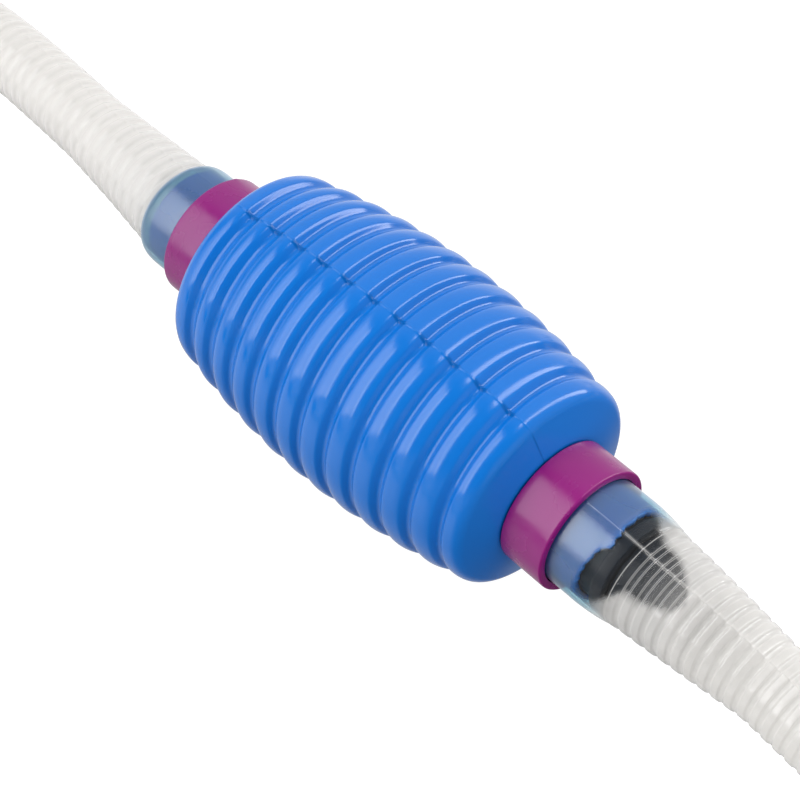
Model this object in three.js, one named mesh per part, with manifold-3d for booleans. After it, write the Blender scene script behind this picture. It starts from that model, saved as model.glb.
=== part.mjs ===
// Gravel vacuum siphon: a bellows hand pump with a clear hose on each side, a
// check valve in each neck, and a wide gravel tube on the suction hose.
// Millimetres. +Z is up, +X is the way the water runs through the bulb.
// Origin: the centre of the bulb, on its own axis. The floor is at z = -BULB_R.
import * as THREE from 'three';
import { mergeVertices } from 'three/addons/utils/BufferGeometryUtils.js';
import Module from 'manifold-3d';

const wasm = await Module();
wasm.setup();

// ---- shared dimensions --------------------------------------------------
const FACETS = 24;              // round every turned piece
const NECK_R = 12.7;            // outside of both bulb necks and the cap's spigot

// The outlet neck leans in the XY plane, and its valve, ring and hose follow it.
const TILT = THREE.MathUtils.degToRad(-2.0);    // towards -Y
const TILT_X = 45.0;                            // pivot of the lean, on the bulb's axis

// The nozzle's axis is parallel to the bulb's.
const NOZZLE_Y = -198.0;
const NOZZLE_Z = -11.0;

// ---- materials ----------------------------------------------------------
const BLUE = { color: 0x2d7de1, roughness: 0.28, metalness: 0 };
const MAGENTA = { color: 0xa53287, roughness: 0.42, metalness: 0 };
const CLEAR_HOSE = {
  color: 0xdfe2dc, roughness: 0.2, metalness: 0, transparent: true, opacity: 0.5,
};
const CLEAR_TUBE = {
  color: 0xe8eef0, roughness: 0.06, metalness: 0, transparent: true, opacity: 0.3,
};
const BLACK = { color: 0x1b232d, roughness: 0.3, metalness: 0 };
const SEAL = { color: 0x141414, roughness: 0.6, metalness: 0 };
const BALL = { color: 0xe9e6dc, roughness: 0.35, metalness: 0 };

// ---- helpers ------------------------------------------------------------
// Welds a closed surface into one indexed geometry whose faces point outward.
function closed(geometry) {
  for (const name of Object.keys(geometry.attributes)) {
    if (name !== 'position') geometry.deleteAttribute(name);
  }
  const welded = mergeVertices(geometry, 1e-3);
  const position = welded.getAttribute('position');
  const source = welded.index.array;
  const corners = [0, 1, 2].map(() => new THREE.Vector3());
  const triangles = [];
  let volume = 0;
  for (let i = 0; i < source.length; i += 3) {
    const triangle = [source[i], source[i + 1], source[i + 2]];
    if (new Set(triangle).size < 3) continue;   // collapsed by the weld
    triangles.push(...triangle);
    const [a, b, c] = corners.map((corner, k) => corner.fromBufferAttribute(position, triangle[k]));
    volume += a.dot(b.cross(c)) / 6;
  }
  if (volume < 0) {
    for (let i = 0; i < triangles.length; i += 3) {
      [triangles[i + 1], triangles[i + 2]] = [triangles[i + 2], triangles[i + 1]];
    }
  }
  welded.setIndex(triangles);
  return welded;
}

function toSolid(geometry) {
  const surface = closed(geometry);
  return new wasm.Manifold(new wasm.Mesh({
    numProp: 3,
    vertProperties: new Float32Array(surface.getAttribute('position').array),
    triVerts: new Uint32Array(surface.index.array),
  }));
}

function fromSolid(solid) {
  const { vertProperties, triVerts } = solid.getMesh();
  const geometry = new THREE.BufferGeometry();
  const position = new THREE.BufferAttribute(new Float32Array(vertProperties), 3);
  geometry.setAttribute('position', position);
  geometry.setIndex(new THREE.BufferAttribute(new Uint32Array(triVerts), 1));
  return geometry;
}

// A piece turned about the X axis from a closed outline of [x, radius] points.
function turned(profile) {
  const points = [...profile, profile[0]].map(([x, radius]) => new THREE.Vector2(radius, x));
  const geometry = new THREE.LatheGeometry(points, FACETS);
  geometry.rotateZ(-Math.PI / 2);       // the lathe's own axis, +Y, becomes +X
  return geometry;
}

function namedMesh(name, geometry, look) {
  geometry.computeVertexNormals();
  const mesh = new THREE.Mesh(geometry, new THREE.MeshStandardMaterial(look));
  mesh.name = name;
  return mesh;
}

const surfacePiece = (name, geometry, look) => namedMesh(name, closed(geometry), look);
const solidPiece = (name, solid, look) => namedMesh(name, fromSolid(solid), look);

// ---- squeeze bulb -------------------------------------------------------
const BULB_R = 32.0;            // largest radius, at the middle
const BARREL = 0.00237;         // r = BULB_R - BARREL * x^2
const BULB_X0 = -50.6;          // inlet end face, at the neck
const BULB_X1 = 52.0;           // outlet end face, at the neck
const BULB_WALL = 1.4;
const CORNER_X0 = BULB_X0 + 5.2;    // where the rounded end corners meet the barrel
const CORNER_X1 = 46.9;
const CORNER_DROP = 0.1;        // corner points below the barrel curve
const LEAN_X0 = 40.0;           // the lean builds up from here to BULB_X1

const CREASES = 11;             // folding creases
const CREASE_X0 = -40.36;       // first crease
const CREASE_PITCH = 8.28;
const CREASE_DEPTH = 1.7;
const CREASE_HALF = 2.2;        // half the mouth of a crease
const CREASE_FLOOR = 0.5;       // half its flat floor
const CREASE_LIP = 0.22;        // mouth edge below the barrel curve

const INNER_STEPS = 4;          // inner wall stations each side of the middle one
const INNER_PITCH = 9.6;
const INNER_MIDDLE_X = -1.2;

const NECK_BORE = NECK_R - BULB_WALL;
const NECK_X0 = -72.0;          // trimmed end of the inlet neck
const NECK_X1 = 75.6;           // trimmed end of the outlet neck, before the lean

const barrel = (x) => BULB_R - BARREL * x * x;

function creasePoints() {
  const points = [];
  for (let i = 0; i < CREASES; i++) {
    const x = CREASE_X0 + i * CREASE_PITCH;
    const floorR = barrel(x) - CREASE_DEPTH;
    points.push(
      [x - CREASE_HALF, barrel(x - CREASE_HALF) - CREASE_LIP],
      [x - CREASE_FLOOR, floorR],
      [x + CREASE_FLOOR, floorR],
      [x + CREASE_HALF, barrel(x + CREASE_HALF) - CREASE_LIP],
    );
    const crestX = x + CREASE_PITCH / 2;
    if (i < CREASES - 1) points.push([crestX, barrel(crestX)]);
  }
  return points;
}

// [x, radius], from the inlet neck to the outlet neck
function bulbOuter() {
  return [
    [NECK_X0, NECK_R], [BULB_X0, NECK_R],
    // inlet end: shallow dome, then a rounded corner
    [BULB_X0 + 0.15, 16.8], [BULB_X0 + 1.8, 22.6], [BULB_X0 + 3.4, 25.7],
    [CORNER_X0, barrel(CORNER_X0) - CORNER_DROP],
    ...creasePoints(),
    // outlet end: rounded corner, then a shallow dome
    [CORNER_X1, barrel(CORNER_X1) - CORNER_DROP],
    [48.5, 25.8], [50.0, 22.7], [51.05, 19.4], [BULB_X1 - 0.1, 16.8],
    [BULB_X1, NECK_R], [NECK_X1, NECK_R],
  ];
}

// [x, radius], back from the outlet neck; smooth, one wall below the crease floors
function bulbInner() {
  const points = [
    [NECK_X1, NECK_BORE], [BULB_X1 - BULB_WALL, NECK_BORE],
    [BULB_X1 - 2.4, 17.0], [47.6, 21.6], [44.5, 24.6],
  ];
  for (let i = INNER_STEPS; i >= -INNER_STEPS; i--) {
    const x = i * INNER_PITCH + INNER_MIDDLE_X;
    points.push([x, barrel(x) - CREASE_DEPTH - BULB_WALL]);
  }
  points.push(
    [BULB_X0 + 3.6, 22.6], [BULB_X0 + 1.7, 16.4],
    [BULB_X0 + BULB_WALL, NECK_BORE], [NECK_X0, NECK_BORE],
  );
  return points;
}

// Turns the outlet end about a line through TILT_X parallel to Z.
function lean(geometry) {
  const position = geometry.getAttribute('position');
  for (let i = 0; i < position.count; i++) {
    const x = position.getX(i);
    const y = position.getY(i);
    const angle = TILT * THREE.MathUtils.smoothstep(x, LEAN_X0, BULB_X1);
    const cos = Math.cos(angle);
    const sin = Math.sin(angle);
    position.setX(i, TILT_X + (x - TILT_X) * cos - y * sin);
    position.setY(i, (x - TILT_X) * sin + y * cos);
  }
  return geometry;
}

function squeezeBulb() {
  return surfacePiece('squeeze_bulb', lean(turned([...bulbOuter(), ...bulbInner()])), BLUE);
}

// ---- clamp rings --------------------------------------------------------
const RING_R = 16.2;
const RING_BORE = 14.3;
const RING_W = 12.4;
const RING_CHAMFER = 0.35;
const INLET_RING_X = -51.0 - RING_W;    // -X face of each ring
const OUTLET_RING_X = 52.35;            // on the leaning axis

function clampRing(name, x0) {
  const x1 = x0 + RING_W;
  const chamferR = RING_R - RING_CHAMFER;
  return surfacePiece(name, turned([
    [x0, RING_BORE], [x0, chamferR], [x0 + RING_CHAMFER, RING_R],
    [x1 - RING_CHAMFER, RING_R], [x1, chamferR], [x1, RING_BORE],
  ]), MAGENTA);
}

// ---- hoses --------------------------------------------------------------
const CUFF_R = 14.1;
const CUFF_BORE = 12.95;
const HOSE_R = 9.7;
const HOSE_WALL = 1.0;
const HOSE_STEP = 21;           // nearest spacing of stations along the plain run

// Outside of each end: [distance from that end, radius]
const OUTLET_HEAD = [
  [0, CUFF_R], [27.1, CUFF_R], [30.4, 12.9], [38.1, 12.2], [50.1, 11.2], [57.1, 10.5],
  [65.5, HOSE_R],
];
const INLET_HEAD = [
  [0, CUFF_R], [21.4, CUFF_R], [24.0, 12.6], [29.0, 12.1], [44.5, 10.9], [63.5, HOSE_R],
];
const HOSE_TAIL = [[0, CUFF_R], [24.0, CUFF_R], [27.0, 12.9], [55.0, HOSE_R]];

// A point on the leaning outlet axis, raised to z.
const onLean = (distance, z) => [
  TILT_X + distance * Math.cos(TILT), distance * Math.sin(TILT), z,
];

// Centre lines: [x, y, z], starting at the bulb.
// The outlet hose runs out along +X, droops, and turns back towards -X on the +Y side.
const OUTLET_LINE = [
  onLean(7.4, 0), onLean(40, 0), onLean(73, -0.8), onLean(106, -3.6),
  [189, 3, -8.5], [227, 27, -14.5], [253, 65, -19.5], [262, 110, -21.9],
  [251, 154, -22.2], [219, 188, -22.2], [174, 205, -22.2], [142, 208.5, -22.2],
  [110, 209, -22.2], [66, 208, -22.1], [22, 206, -19.6], [0, 205, -17.9], [-22, 205, -17.9],
];
// The inlet hose leaves towards -X, turns round through -Y and ends on the nozzle cap.
const INLET_LINE = [
  [-51.2, 0, 0], [-61.6, 0, 0], [-72, 0.05, 0], [-82.5, 0.85, -0.05],
  [-93, 1.9, -0.2], [-114, 3.7, -0.5], [-135, 5.6, -1.2], [-158, 7.3, -2.4],
  [-181, 7.4, -4.4], [-204, 3.2, -7.4], [-226, -7, -11.2], [-243.5, -23, -15.2],
  [-255.5, -45, -18.8], [-261.5, -72, -21.2], [-262.1, -100, -22.2], [-260.5, -127, -22.2],
  [-253.5, -153, -21.8], [-239, -174.5, -19.4], [-221, -188, -15.8], [-204, -194.7, -13.2],
  [-187, -197.5, -11.5], [-170, NOZZLE_Y, NOZZLE_Z], [-156.7, NOZZLE_Y, NOZZLE_Z],
  [-143.4, NOZZLE_Y, NOZZLE_Z],
];

// [distance, radius]; the bore follows the outside one wall in, except in the cuffs.
function hoseProfile(head, tail, length) {
  const runStart = head.at(-1)[0];
  const runLength = length - tail.at(-1)[0] - runStart;
  const steps = Math.round(runLength / HOSE_STEP);
  const outer = [...head];
  for (let i = 1; i < steps; i++) outer.push([runStart + runLength * i / steps, HOSE_R]);
  for (const [distance, radius] of [...tail].reverse()) outer.push([length - distance, radius]);
  const bore = outer.map(([s, radius]) => [s, radius === CUFF_R ? CUFF_BORE : radius - HOSE_WALL]);
  return [...outer, ...bore.reverse()];
}

// Bends a straight piece along a curve. Its +Z side stays up.
function bend(geometry, curve, length) {
  const position = geometry.getAttribute('position');
  const up = new THREE.Vector3(0, 0, 1);
  const point = new THREE.Vector3();
  const tangent = new THREE.Vector3();
  const side = new THREE.Vector3();
  const top = new THREE.Vector3();
  for (let i = 0; i < position.count; i++) {
    const t = THREE.MathUtils.clamp(position.getX(i) / length, 0, 1);
    curve.getPointAt(t, point);
    curve.getTangentAt(t, tangent);
    side.crossVectors(up, tangent).normalize();
    top.crossVectors(tangent, side);
    point.addScaledVector(side, position.getY(i)).addScaledVector(top, position.getZ(i));
    position.setXYZ(i, point.x, point.y, point.z);
  }
  return geometry;
}

function hose(name, line, head) {
  const points = line.map((point) => new THREE.Vector3(...point));
  const curve = new THREE.CatmullRomCurve3(points, false, 'catmullrom', 0.5);
  curve.arcLengthDivisions = 2000;
  const length = curve.getLength();
  const straight = turned(hoseProfile(head, HOSE_TAIL, length));
  return surfacePiece(name, bend(straight, curve, length), CLEAR_HOSE);
}

// ---- check valves -------------------------------------------------------
// Local x runs with the flow from the upstream end of the cartridge.
const INLET_VALVE_X = -70.5;    // upstream end of the inlet cartridge
const OUTLET_VALVE_X = 61.3;    // and of the outlet cartridge, on the leaning axis
const SEAT_R = 11.1;
const SEAT_BORE = 8.4;
const ORIFICE_R = 5.2;
const FLANGE_R = 12.5;
const FLANGE_X = 14.9;
const SHOULDER_X = 17.9;        // downstream face of the seat's full radius
const SPIGOT_R = 9.2;           // end of the seat, inside the cage
const GROOVE_R = 9.4;           // O-ring groove
const GROOVE_X0 = 5.8;
const GROOVE_X1 = 8.2;
const CAGE_SOCKET_R = 9.4;
const CAGE_BORE = 7.6;
const CAGE_OUTLET_R = 6.9;
const CAGE_END_X = 35.0;
const BAR_X = 34.0;             // crossed bars
const BAR_W = 1.8;
const BAR_LENGTH = 15.0;
const ORING_R = 10.35;          // to the middle of its section
const ORING_HALF_WIDTH = 0.85;
const ORING_HALF_HEIGHT = 0.8;
const ORING_SIDES = 6;
const BALL_R = 6.5;
const BALL_X = 21.15;

function seatGeometry(hasFlange) {
  const flange = [[FLANGE_X, SEAT_R], [FLANGE_X, FLANGE_R], [SHOULDER_X, FLANGE_R]];
  return turned([
    [0, SEAT_BORE], [0, SEAT_R],
    [GROOVE_X0, SEAT_R], [GROOVE_X0, GROOVE_R], [GROOVE_X1, GROOVE_R], [GROOVE_X1, SEAT_R],
    ...(hasFlange ? flange : [[SHOULDER_X, SEAT_R]]),
    [SHOULDER_X, SPIGOT_R], [21.0, SPIGOT_R], [21.0, 8.0],
    [17.0, ORIFICE_R], [15.0, ORIFICE_R], [11.0, SEAT_BORE],
  ]);
}

// A sleeve round the ball, with two crossed bars over its open downstream end.
function cageSolid() {
  let cage = toSolid(turned([
    [18.3, CAGE_SOCKET_R], [18.3, 10.4], [CAGE_END_X, 10.0], [CAGE_END_X, CAGE_OUTLET_R],
    [33.0, CAGE_OUTLET_R], [32.4, CAGE_BORE], [21.4, CAGE_BORE], [21.4, CAGE_SOCKET_R],
  ]));
  for (const turn of [0, Math.PI / 2]) {
    const bar = new THREE.BoxGeometry(BAR_W, BAR_W, BAR_LENGTH);
    bar.rotateX(turn);
    bar.translate(BAR_X, 0, 0);
    cage = cage.add(toSolid(bar));
  }
  return cage;
}

function oringGeometry() {
  const middleX = (GROOVE_X0 + GROOVE_X1) / 2;
  const section = [];
  for (let i = 0; i < ORING_SIDES; i++) {
    const angle = i * 2 * Math.PI / ORING_SIDES;
    section.push([
      middleX + ORING_HALF_WIDTH * Math.cos(angle),
      ORING_R + ORING_HALF_HEIGHT * Math.sin(angle),
    ]);
  }
  return turned(section);
}

function valve(prefix, x, hasFlange) {
  const ball = surfacePiece(`${prefix}_valve_ball`, new THREE.SphereGeometry(BALL_R, 16, 12), BALL);
  ball.position.set(BALL_X, 0, 0);
  const group = new THREE.Group();
  group.position.set(x, 0, 0);
  group.add(
    surfacePiece(`${prefix}_valve_seat`, seatGeometry(hasFlange), BLACK),
    solidPiece(`${prefix}_valve_cage`, cageSolid(), BLACK),
    surfacePiece(`${prefix}_valve_oring`, oringGeometry(), SEAL),
    ball,
  );
  return group;
}

// ---- nozzle: cap, strainer and gravel tube ------------------------------
const CAP_SPIGOT_X = -168.0;
const CAP_SHOULDER_X = -143.0;
const CAP_SLEEVE_X = -128.0;
const CAP_END_X = -100.0;
const CAP_R = 21.0;
const CAP_BORE = 19.25;
const CAP_SPIGOT_BORE = 9.6;
const NOZZLE_RING_X = CAP_SHOULDER_X - 0.6 - RING_W;

const STRAINER_X = CAP_SLEEVE_X + 0.3;  // -X face
const STRAINER_THICK = 2.4;
const STRAINER_R = 18.9;
const SLOT_PITCH = 4.3;
const SLOT_W = 2.3;
const SLOT_FIELD_R = 15.6;      // circle that sets how far the slots reach
const SLOT_INSET = 0.8;         // slot ends inside that circle
const RIB_HALF = 0.9;           // half the rib left between upper and lower slots
const SLOT_CUT_DEPTH = 8;       // cutter length along X, well through the disc

const TUBE_R = 19.0;
const TUBE_BORE = 17.4;
const TUBE_X0 = -124.9;
const TUBE_X1 = 80.0;

function nozzleCap() {
  return surfacePiece('nozzle_cap', turned([
    [CAP_SPIGOT_X, CAP_SPIGOT_BORE], [CAP_SPIGOT_X, 12.3], [CAP_SPIGOT_X + 1.2, NECK_R],
    [CAP_SHOULDER_X, NECK_R], [CAP_SHOULDER_X, 15.6], [CAP_SHOULDER_X + 1.5, 16.4],
    [CAP_SLEEVE_X - 3.0, CAP_R - 0.9], [CAP_SLEEVE_X, CAP_R],
    [CAP_END_X, CAP_R], [CAP_END_X, CAP_BORE],
    [CAP_SLEEVE_X, CAP_BORE], [CAP_SLEEVE_X, 17.2], [CAP_SHOULDER_X + 2.0, CAP_SPIGOT_BORE],
  ]), BLUE);
}

// A disc with seven upright slots, each split by a rib at mid height.
function intakeStrainer() {
  const x0 = STRAINER_X;
  const x1 = x0 + STRAINER_THICK;
  let disc = toSolid(turned([[x0, 0], [x0, STRAINER_R], [x1, STRAINER_R], [x1, 0]]));
  for (let i = -3; i <= 3; i++) {
    const y = i * SLOT_PITCH;
    const reach = Math.sqrt(SLOT_FIELD_R * SLOT_FIELD_R - y * y) - SLOT_INSET;
    const height = reach - RIB_HALF;
    for (const sign of [-1, 1]) {
      const slot = new THREE.BoxGeometry(SLOT_CUT_DEPTH, SLOT_W, height);
      slot.translate((x0 + x1) / 2, y, sign * (RIB_HALF + height / 2));
      disc = disc.subtract(toSolid(slot));
    }
  }
  return solidPiece('intake_strainer', disc, BLUE);
}

function gravelTube() {
  return surfacePiece('gravel_tube', turned([
    [TUBE_X0, TUBE_BORE], [TUBE_X0, TUBE_R], [TUBE_X1, TUBE_R], [TUBE_X1, TUBE_BORE],
  ]), CLEAR_TUBE);
}

// ---- assembly -----------------------------------------------------------
const outletEnd = new THREE.Group();    // the leaning outlet neck's own axis
outletEnd.position.set(TILT_X, 0, 0);
outletEnd.rotation.set(0, 0, TILT);
outletEnd.add(
  clampRing('outlet_clamp_ring', OUTLET_RING_X - TILT_X),
  valve('outlet', OUTLET_VALVE_X - TILT_X, true),
);

const nozzle = new THREE.Group();
nozzle.position.set(0, NOZZLE_Y, NOZZLE_Z);
nozzle.add(
  nozzleCap(),
  intakeStrainer(),
  gravelTube(),
  clampRing('nozzle_clamp_ring', NOZZLE_RING_X),
);

const siphon = new THREE.Group();
siphon.add(
  squeezeBulb(),
  hose('inlet_hose', INLET_LINE, INLET_HEAD),
  hose('outlet_hose', OUTLET_LINE, OUTLET_HEAD),
  clampRing('inlet_clamp_ring', INLET_RING_X),
  valve('inlet', INLET_VALVE_X, false),
  outletEnd,
  nozzle,
);

export default siphon;
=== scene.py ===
"""Gravel vacuum siphon: a ribbed squeeze bulb, two ribbed hoses, clamp rings, check valves and a
nozzle with a clear gravel tube.

The bulb lies along X about the origin with +Z up. Its inlet neck points to -X; its outlet neck
points to +X and leans a little to -Y. The outlet hose curls round the +X side to y = +205 mm. The
inlet hose curls round the -X side to the nozzle, which lies along X at y = -198 mm.

Sizes are in mm and meshes are scaled to metres. Lights, camera and textures are in metres. Angles
about X run from +Y towards +Z. A profile is a list of [x, radius] to be turned about X.
"""

import math
import bpy
import numpy as np
from mathutils import Matrix, Vector


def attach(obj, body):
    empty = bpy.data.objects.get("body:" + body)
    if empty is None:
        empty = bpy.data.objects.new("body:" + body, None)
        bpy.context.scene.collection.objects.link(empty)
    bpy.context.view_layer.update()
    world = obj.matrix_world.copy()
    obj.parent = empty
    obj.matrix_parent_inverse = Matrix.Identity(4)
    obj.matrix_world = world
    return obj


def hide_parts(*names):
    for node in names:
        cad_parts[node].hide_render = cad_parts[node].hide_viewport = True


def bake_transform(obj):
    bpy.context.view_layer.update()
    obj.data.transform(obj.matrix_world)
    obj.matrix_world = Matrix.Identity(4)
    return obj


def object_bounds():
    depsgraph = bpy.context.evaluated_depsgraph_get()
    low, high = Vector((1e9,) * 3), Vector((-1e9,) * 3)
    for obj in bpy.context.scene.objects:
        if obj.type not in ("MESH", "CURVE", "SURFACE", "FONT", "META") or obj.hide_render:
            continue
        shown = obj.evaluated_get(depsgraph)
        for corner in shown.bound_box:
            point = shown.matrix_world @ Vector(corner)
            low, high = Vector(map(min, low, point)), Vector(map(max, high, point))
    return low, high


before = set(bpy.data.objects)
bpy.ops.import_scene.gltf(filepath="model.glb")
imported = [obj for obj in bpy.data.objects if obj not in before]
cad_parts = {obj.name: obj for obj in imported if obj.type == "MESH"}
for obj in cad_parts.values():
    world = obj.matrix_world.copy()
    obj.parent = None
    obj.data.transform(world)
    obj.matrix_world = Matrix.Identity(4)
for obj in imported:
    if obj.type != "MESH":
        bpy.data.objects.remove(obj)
CAD_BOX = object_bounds()
MM = 0.001
TAU = 2 * math.pi

# ------------------------------------------------------------------ shared sizes
BULB_START, BULB_END = -50.6, 52.0
NECK_RADIUS, NECK_BORE = 12.7, 11.3
NECK_START, NECK_END = -72.0, 75.6
SEAM = math.radians(101.4)      # the mould seam, just on the -Y side of the top
LEAN_ANGLE, LEAN_X = math.radians(-2.0), 45.0       # the outlet's lean and the x it turns about
OUTLET_HOSE_START = 7.4         # from LEAN_X, along the leaning axis
CUFF_RADIUS, CUFF_BORE, HOSE_RADIUS = 14.1, 12.95, 9.7

HERE = Matrix.Identity(4)
PIVOT = Vector((LEAN_X * MM, 0, 0))
LEAN = Matrix.Translation(PIVOT) @ Matrix.Rotation(LEAN_ANGLE, 4, "Z") @ Matrix.Translation(-PIVOT)
NOZZLE = Matrix.Translation(Vector((0, -198.0 * MM, -11.0 * MM)))

# The outlet neck's ragged, hand-trimmed end: (degrees about X, x)
TRIM = [
    (20, 74.9), (42, 74.7), (60, 74.6), (72, 74.7), (85, 75.1), (96, 74.9), (101, 75.1),
    (104, 75.9), (108, 75.4), (112, 75.3), (116, 75.9), (121, 76.1), (124, 74.9), (128, 74.0),
    (138, 73.6), (152, 72.9), (170, 72.4), (191, 72.1), (215, 72.7), (245, 73.6), (280, 74.2),
    (320, 74.8), (350, 75.0),
]


# ------------------------------------------------------------------ curves
def smoothstep(t):
    t = np.clip(t, 0.0, 1.0)
    return t * t * (3 - 2 * t)


def bell(distance, width, power=2):
    """1 at no distance, falling away over the width; a higher power gives a flatter top."""
    return np.exp(-(distance / width) ** power)


def angle_from(angle, centre):
    """Signed angle from the centre, the short way round."""
    return np.arctan2(np.sin(angle - centre), np.cos(angle - centre))


def even(count):
    return np.arange(count) * TAU / count


def table_value(at, table):
    """Interpolates a table of (position, value)."""
    return np.interp(at, [row[0] for row in table], [row[1] for row in table])


def trimmed_end(degrees):
    """x where the outlet neck ends, before it leans."""
    return np.interp(degrees, [t[0] for t in TRIM], [t[1] for t in TRIM], period=360)


# ------------------------------------------------------------------ profiles and meshes
def closed_profile(corners, radii, arc_steps, spacing):
    """A closed profile with rounded corners and no gap longer than the spacing."""
    corners = [np.array(c, float) for c in corners]
    radii = np.broadcast_to(radii, len(corners))
    outline = []
    for i, corner in enumerate(corners):
        back, ahead = corners[i - 1] - corner, corners[(i + 1) % len(corners)] - corner
        back_len, ahead_len = np.linalg.norm(back), np.linalg.norm(ahead)
        back, ahead = back / back_len, ahead / ahead_len
        inside = math.acos(float(back @ ahead))
        cut = min(radii[i] / math.tan(inside / 2), back_len * 0.48, ahead_len * 0.48)
        radius = cut * math.tan(inside / 2)
        middle = (back + ahead) / np.linalg.norm(back + ahead)
        centre = corner + middle * (radius / math.sin(inside / 2))
        first, last = corner + back * cut - centre, corner + ahead * cut - centre
        turn = math.pi - inside
        for k in range(arc_steps + 1):
            part = k / arc_steps
            spoke = first * math.sin((1 - part) * turn) + last * math.sin(part * turn)
            spoke = spoke / math.sin(turn)
            outline.append(centre + spoke / np.linalg.norm(spoke) * radius)
    dense = []
    for i, start in enumerate(outline):
        end = outline[(i + 1) % len(outline)]
        pieces = max(1, int(math.ceil(np.linalg.norm(end - start) / spacing)))
        for j in range(pieces):
            dense.append(start + (end - start) * j / pieces)
    return np.array(dense)


def spread(profile, angles):
    """Grids of x, radius and angle: a row for each profile point, a column for each angle."""
    profile = np.asarray(profile, float)
    x = np.repeat(profile[:, :1], len(angles), 1)
    radius = np.repeat(profile[:, 1:], len(angles), 1)
    return x, radius, np.tile(angles, (len(profile), 1))


def around_x(x, radius, angle):
    return np.stack([x, radius * np.cos(angle), radius * np.sin(angle)], -1)


def solid(grid):
    """Vertices and outward quads of a grid whose rows and columns both close."""
    rows, cols, _ = grid.shape
    verts = grid.reshape(-1, 3)
    row, col = np.meshgrid(np.arange(rows), np.arange(cols), indexing="ij")
    row, next_row = row * cols, (row + 1) % rows * cols
    next_col = (col + 1) % cols
    quads = np.stack([row + col, row + next_col, next_row + next_col, next_row + col], -1)
    quads = quads.reshape(-1, 4)
    a, b, c, d = (verts[quads[:, k]] for k in range(4))
    volume = (a * np.cross(b, c)).sum() + (a * np.cross(c, d)).sum()
    if volume <= 0:
        quads = quads[:, ::-1]
    return verts, quads.tolist()


def turned(profile, angles):
    return solid(around_x(*spread(profile, angles)))


def add_mesh(name, mesh, material):
    verts, faces = mesh
    data = bpy.data.meshes.new(name)
    data.from_pydata((np.asarray(verts) * MM).tolist(), [], faces)
    data.validate()
    piece = bpy.data.objects.new(name, data)
    bpy.context.scene.collection.objects.link(piece)
    data.materials.append(material)
    data.polygons.foreach_set("use_smooth", np.ones(len(data.polygons), dtype=bool))
    data.update()
    return piece


def place(name, mesh, slot, matrix, body, node):
    """Adds a mesh that moves with a body and stands in for a node of the frame."""
    piece = add_mesh(name, mesh, MATERIALS[slot])
    piece.data.transform(matrix)
    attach(piece, body)
    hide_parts(node)
    return piece


def add_attribute(piece, name, values):
    attribute = piece.data.attributes.new(name, "FLOAT", "POINT")
    attribute.data.foreach_set("value", values.ravel().astype(np.float32))


# ------------------------------------------------------------------ shader nodes
def set_inputs(tree, node, inputs):
    """Sets or links inputs by name or number. A socket is linked and a tuple is a colour."""
    for key, value in inputs.items():
        if isinstance(value, bpy.types.NodeSocket):
            tree.links.new(value, node.inputs[key])
        else:
            node.inputs[key].default_value = (*value, 1.0) if isinstance(value, tuple) else value


def add_node(tree, kind, inputs=None, **settings):
    node = tree.nodes.new("ShaderNode" + kind)
    for key, value in settings.items():
        setattr(node, key, value)
    set_inputs(tree, node, inputs or {})
    return node


def new_material(name):
    material = bpy.data.materials.new(name)
    material.use_nodes = True
    material.node_tree.nodes.clear()
    return material, material.node_tree


def math_node(tree, operation, *values):
    return add_node(tree, "Math", dict(enumerate(values)), operation=operation).outputs[0]


def remap(tree, value, from_range, to_range, kind="LINEAR"):
    node = add_node(tree, "MapRange", {
        "From Min": from_range[0], "From Max": from_range[1],
        "To Min": to_range[0], "To Max": to_range[1], "Value": value,
    }, interpolation_type=kind)
    return node.outputs["Result"]


def mix_color(tree, factor, first, second):
    return add_node(tree, "Mix", {0: factor, 6: first, 7: second}, data_type="RGBA").outputs[2]


def mix_shader(tree, factor, first, second):
    return add_node(tree, "MixShader", {0: factor, 1: first, 2: second}).outputs[0]


def mesh_attribute(tree, name):
    return add_node(tree, "Attribute", attribute_name=name).outputs["Fac"]


def object_coords(tree):
    coords = add_node(tree, "TexCoord").outputs["Object"]
    return add_node(tree, "Mapping", {"Vector": coords}).outputs["Vector"]


def noise(tree, vector, scale, detail, rough):
    return add_node(tree, "TexNoise", {
        "Scale": scale, "Detail": detail, "Roughness": rough, "Vector": vector,
    }).outputs["Fac"]


def bump(tree, height, strength, distance, **inputs):
    return add_node(tree, "Bump", {
        "Strength": strength, "Distance": distance, "Height": height, **inputs,
    }).outputs["Normal"]


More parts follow.
